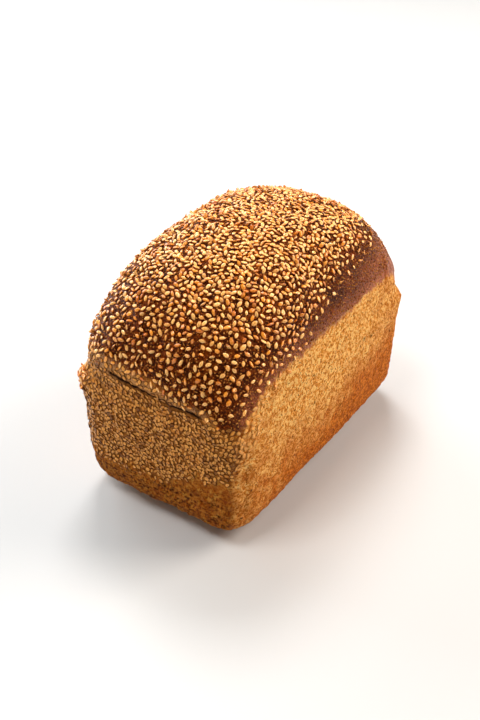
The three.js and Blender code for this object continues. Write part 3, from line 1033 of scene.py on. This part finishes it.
unopened = opened < BARELY_OPEN
above_edge = z - edge_height(x, y)
crown_gaps = CROWN_GAP - TOP_CLOSER * smooth_step(z, 104 * MM, 138 * MM)
crown_gaps += EDGE_LOOSER * (1 - smooth_step(above_edge, -1 * MM, 9 * MM))
near_fold = 1 - smooth_step(above_fold, 4 * MM, 9 * MM)
crown_gaps += FOLD_LOOSER * near_end * near_fold * smooth_step(y, -36 * MM, -20 * MM)
band_top = (1.0 + 5.0 * near_end * smooth_step(y, -34 * MM, 5 * MM)) * MM
on_seeded_crown = (above_edge > -2.5 * MM) & (above_fold > band_top) & unopened
on_lip = np.linalg.norm(points - (-CORNER_X, CORNER_Y, WALL_HEIGHT), axis=1) < LIP_SEEDS
crown_gaps = np.where(on_seeded_crown, crown_gaps, np.where(on_lip, LIP_GAP, np.inf))
taken_spots = {}
crown_spots = scatter(crust, crown_gaps, CROWN_TRIES, taken_spots)
print("spots on the crown:", len(crown_spots[0]))

# %% [markdown]
# ## Where seeds are pressed in
# Where the near end touched the tin, seeds were pressed into the dough: packed on the end, a little looser in
# the band above the fold, and thinning out round the right corner. The same scatter finds their spots, with
# smaller gaps, and keeps clear of the spots that are taken. What is left of the crown takes the blisters.

# %% Pick the pressed spots and the blisters' spots
PRESSED_GAP, PRESSED_LOOSER, BAND_GAP = 1.75 * MM, 1.3 * MM, 2.3 * MM
WALL_GAP, WALL_LOOSER = 2.9 * MM, 1.2 * MM
LEAST_SHARE = 0.2
BLISTER_GAP, BLISTERS_BELOW = 1.45 * MM, 22 * MM
PRESSED_TRIES, BLISTER_TRIES = 20000, 40000

round_corner = PRESSED_DEPTH + 3 * MM + 0.5 * np.clip(z - 58 * MM, 0, None) * (y < 0)
share = pressed_share(points, round_corner)
band = near_end * bump((above_fold - 0.8 * band_reach) / band_reach)
band_gaps = np.where(band > LEAST_SHARE, BAND_GAP, np.inf)
pressed_gaps = np.where(share > LEAST_SHARE, PRESSED_GAP + PRESSED_LOOSER * (1 - share), band_gaps)
round_wall = smooth_step(round_corner - HALF_LENGTH - x, -3 * MM, 3 * MM) * smooth_step(z, 50 * MM, 66 * MM)
round_wall *= (y < -44 * MM) & (above_line(points) < 1 * MM)
wall_gaps = np.where(round_wall > LEAST_SHARE, WALL_GAP + WALL_LOOSER * (1 - round_wall), np.inf)
pressed_gaps = np.where(unopened, np.minimum(pressed_gaps, wall_gaps), np.inf)
pressed_spots = scatter(crust, pressed_gaps, PRESSED_TRIES, taken_spots)
on_skin = (above_edge > -BLISTERS_BELOW) & (above_line(points) > 2 * MM) & unopened
bit_spots = scatter(crust, np.where(on_skin, BLISTER_GAP, np.inf), BLISTER_TRIES, taken_spots)
print("spots:", len(pressed_spots[0]), "for pressed seeds,", len(bit_spots[0]), "for blisters")

# %% [markdown]
# ## Turning the seeds
# Sprinkled seeds point every way, but they can't run through each other. So each one tries several random
# directions and takes the one that keeps its two tips farthest from the seeds already laid near it. A tree of
# the spots finds those neighbours quickly.

# %% Define how seeds are turned
TURN_TRIES = 8
SEED_TIP, SEED_REACH = 0.36 * SEED_LENGTH, 1.4 * SEED_LENGTH


def turn_clear(spot_places, side, other):
    """A direction for each seed in the plane of the crust, the clearest of several tries."""
    finder = KDTree(len(spot_places))
    for index, spot in enumerate(spot_places):
        finder.insert(spot, index)
    finder.balance()
    chosen = np.zeros_like(spot_places)
    laid = np.zeros(len(spot_places), dtype=bool)
    for index, spot in enumerate(spot_places):
        turns = picks.uniform(0, math.pi, TURN_TRIES)[:, None]
        ways = np.cos(turns) * side[index] + np.sin(turns) * other[index]
        near = [found[1] for found in finder.find_range(spot, SEED_REACH) if laid[found[1]]]
        best = 0
        if near:
            stops = np.concatenate([spot_places[near] + SEED_TIP * chosen[near],
                                    spot_places[near], spot_places[near] - SEED_TIP * chosen[near]])
            tips = spot + SEED_TIP * np.stack([ways, -ways], axis=1)
            gaps = np.linalg.norm(tips[:, :, None] - stops, axis=3).min(axis=(1, 2))
            best = int(np.argmax(gaps))
        chosen[index] = ways[best] * picks.choice((-1, 1))
        laid[index] = True
    return chosen


print("turns tried for each seed:", TURN_TRIES)

# %% [markdown]
# ## Laying the seeds
# Thousands of separate objects would be slow, so all seeds of a kind are one mesh, built from arrays: every
# spot takes the vertices of one build, turned to lie on the crust. On the crown they lie loose, some tipped
# up; in the end they are pressed flush. Each seed keeps its own tone, and each vertex how near it is to the
# seed's rim, for the material.

# %% Lay the seeds
STAND_ANGLE, STAND_LIFT = 0.9, 0.5 * MM
LEVEL_CRUST = 0.9
SIZE_SPREAD, SIZE_RANGE = 0.07, (0.8, 1.2)
SINK_SPREAD, SINK_LIMIT = 0.07 * MM, 0.12 * MM


def tip(first, second, angle):
    """Two directions turned by an angle, the first one towards the second."""
    return np.cos(angle) * first + np.sin(angle) * second, np.cos(angle) * second - np.sin(angle) * first


def lay_seeds(name, forms, spots, lift, tilt, standing, stretch):
    """One mesh of small forms: lifted off the crust, tilted at random, a share of them standing up."""
    spot_places, ways = spots
    count = len(spot_places)
    slant = picks.normal(0, tilt, (2, count, 1))
    stands = (picks.uniform(size=count) < standing)[:, None]
    slant = slant + stands * picks.uniform(-STAND_ANGLE, STAND_ANGLE, (2, count, 1))
    side = np.cross(ways, np.where(np.abs(ways[:, 2:]) < LEVEL_CRUST, (0, 0, 1), (1, 0, 0)))
    side /= np.linalg.norm(side, axis=1)[:, None]
    long = turn_clear(spot_places, side, np.cross(ways, side))
    wide = np.cross(ways, long)
    long, up = tip(long, ways, slant[0])
    wide, up = tip(wide, up, slant[1])
    size = picks.normal(1, SIZE_SPREAD, (count, 1, 1)).clip(*SIZE_RANGE)
    sink = picks.normal(0, SINK_SPREAD, (count, 1)).clip(-SINK_LIMIT, SINK_LIMIT)
    raised = lift + STAND_LIFT * np.abs(np.sin(slant[0])) + sink
    builds = picks.integers(len(forms), size=count)
    tones = picks.uniform(size=count)
    vertices, faces, tone, rim = [], [], [], []
    start = 0
    for number, seed in enumerate(forms):
        form = places(seed) * stretch
        mine = np.flatnonzero(builds == number)
        edge = np.hypot(form[:, 0] / form[:, 0].max(), form[:, 1] / form[:, 1].max())
        laid = size[mine] * (form[None, :, :1] * long[mine, None] + form[None, :, 1:2] * wide[mine, None]
                             + form[None, :, 2:] * up[mine, None])
        vertices.append((laid + (spot_places[mine] + raised[mine] * ways[mine])[:, None]).reshape(-1, 3))
        tone.append(np.repeat(tones[mine], len(form)))
        rim.append(np.tile(edge, len(mine)))
        for order in range(len(mine)):
            shift = start + order * len(form)
            faces += [[corner + shift for corner in polygon.vertices] for polygon in seed.data.polygons]
        start += len(mine) * len(form)
    mesh = bpy.data.meshes.new(name)
    mesh.from_pydata(np.concatenate(vertices), [], faces)
    piece = bpy.data.objects.new(name, mesh)
    bpy.context.scene.collection.objects.link(piece)
    set_attribute(piece, "tone", np.concatenate(tone))
    set_attribute(piece, "rim", np.concatenate(rim))
    mesh.shade_smooth()
    return piece


crown_seeds = lay_seeds(
    "crown_seeds", seeds, crown_spots, lift=0.36 * MM, tilt=0.26, standing=0.18, stretch=(1, 1, 1))
pressed_seeds = lay_seeds(
    "pressed_seeds", seeds, pressed_spots, lift=0.16 * MM, tilt=0.12, standing=0.0, stretch=(0.95, 1.12, 0.6))
bits = lay_seeds(
    "bits", blisters, bit_spots, lift=0.02 * MM, tilt=0.3, standing=0.0, stretch=(1, 1, 1))
for form in seeds + blisters:
    bpy.data.objects.remove(form, do_unlink=True)
for piece in (crown_seeds, pressed_seeds, bits):
    print("laid:", piece.name, len(piece.data.polygons), "faces")

# %% [markdown]
# ## The seeds' finish
# Toasted sesame runs from cream to gold, with a paler ring about a darker heart, a dark outline that is
# partly a toasted edge and partly painted shade where it meets the crust, and a soft gloss. Every seed has a
# tone of its own. The pressed seeds are browner and paler past the corner, and the blisters darker still, but
# all three share one recipe.

# %% Mix the seeds
SESAME = {"cream": srgb(255, 200, 114), "gold": srgb(250, 158, 50), "toasted": srgb(190, 90, 10)}
PRESSED = {"cream": srgb(234, 162, 80), "gold": srgb(202, 128, 54), "toasted": srgb(78, 36, 6)}
BLISTERED = {"cream": srgb(240, 160, 78), "gold": srgb(160, 76, 20), "toasted": srgb(58, 16, 2)}
FLUSH_GOLD, SEED_GLOSS = srgb(246, 174, 92), srgb(255, 244, 232)
EDGE_SHADE_WIDTH = 0.26


def seed_finish(name, cream, gold, toasted, outline, gloss, wall_share=0.0, edge_shade_from=0.72):
    """A material for one kind of seed; the shares say how much of an effect it gets."""
    material = bpy.data.materials.new(name)
    material.use_nodes = True
    tree = material.node_tree
    place = add_node(tree, "ShaderNodeTexCoord").outputs["Object"]
    grain = add_group(tree, mottling, Place=place, Patch_size=30 * MM, Grain_size=0.9 * MM)["Grain"]
    tone, rim = read(tree, "tone"), read(tree, "rim")
    chance = calculate(tree, "FRACT", times(tree, tone, 7.31))
    body = blend(tree, fade(tree, tone, 0.25, 1.3), gold, toasted)
    ring = times(tree, fade(tree, rim, 0.15, 0.6), fade(tree, chance, 0.0, 0.8))
    colour = blend(tree, ring, body, cream)
    heart = times(tree, fade(tree, rim, 0.42, 0.0), fade(tree, chance, 0.3, 0.9))
    colour = blend(tree, times(tree, heart, 0.7), colour, toasted)
    # The dark outline is partly a toasted edge and partly painted shade where the seed meets the crust.
    outer = fade(tree, rim, edge_shade_from, edge_shade_from + EDGE_SHADE_WIDTH)
    colour = blend(tree, times(tree, outer, outline), colour, toasted)
    colour = blend(tree, times(tree, fade(tree, grain, 0.6, 0.1), 0.3), colour, toasted)
    along = add_node(tree, "ShaderNodeSeparateXYZ", {0: place}).outputs["X"]
    past_corner = fade(tree, along, -90 * MM, -82 * MM)
    colour = blend(tree, times(tree, past_corner, wall_share), colour, FLUSH_GOLD)
    rough = add_node(tree, "ShaderNodeBump", {"Height": grain, "Strength": 0.3, "Distance": 0.2 * MM})
    shader = tree.nodes["Principled BSDF"]
    tree.links.new(colour, shader.inputs["Base Color"])
    tree.links.new(plus(tree, 0.17, times(tree, grain, 0.16)), shader.inputs["Roughness"])
    tree.links.new(rough.outputs["Normal"], shader.inputs["Normal"])
    shader.inputs["Specular IOR Level"].default_value = gloss
    shader.inputs["Specular Tint"].default_value = SEED_GLOSS
    return material


sesame = seed_finish("toasted_sesame", **SESAME, outline=0.85, gloss=1.0)
pressed = seed_finish("pressed_sesame", **PRESSED, outline=0.9, gloss=0.12, wall_share=0.6, edge_shade_from=0.62)
blistered = seed_finish("blisters", **BLISTERED, outline=0.6, gloss=0.12)
for piece, finish in ((crown_seeds, sesame), (pressed_seeds, pressed), (bits, blistered)):
    piece.data.materials.append(finish)
    print("finish:", piece.name, finish.name)

# %% [markdown]
# ## Handing over
# The four pieces take the place of the plain loaf and ride on its one body, so that wherever the loaf is
# put, crust and seeds go with it.

# %% Hand the pieces over
for piece, slot in ((crust, "crust"), (crown_seeds, "sesame"), (pressed_seeds, "sesame"), (bits, "crust")):
    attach(piece, "root")
    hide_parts("loaf")
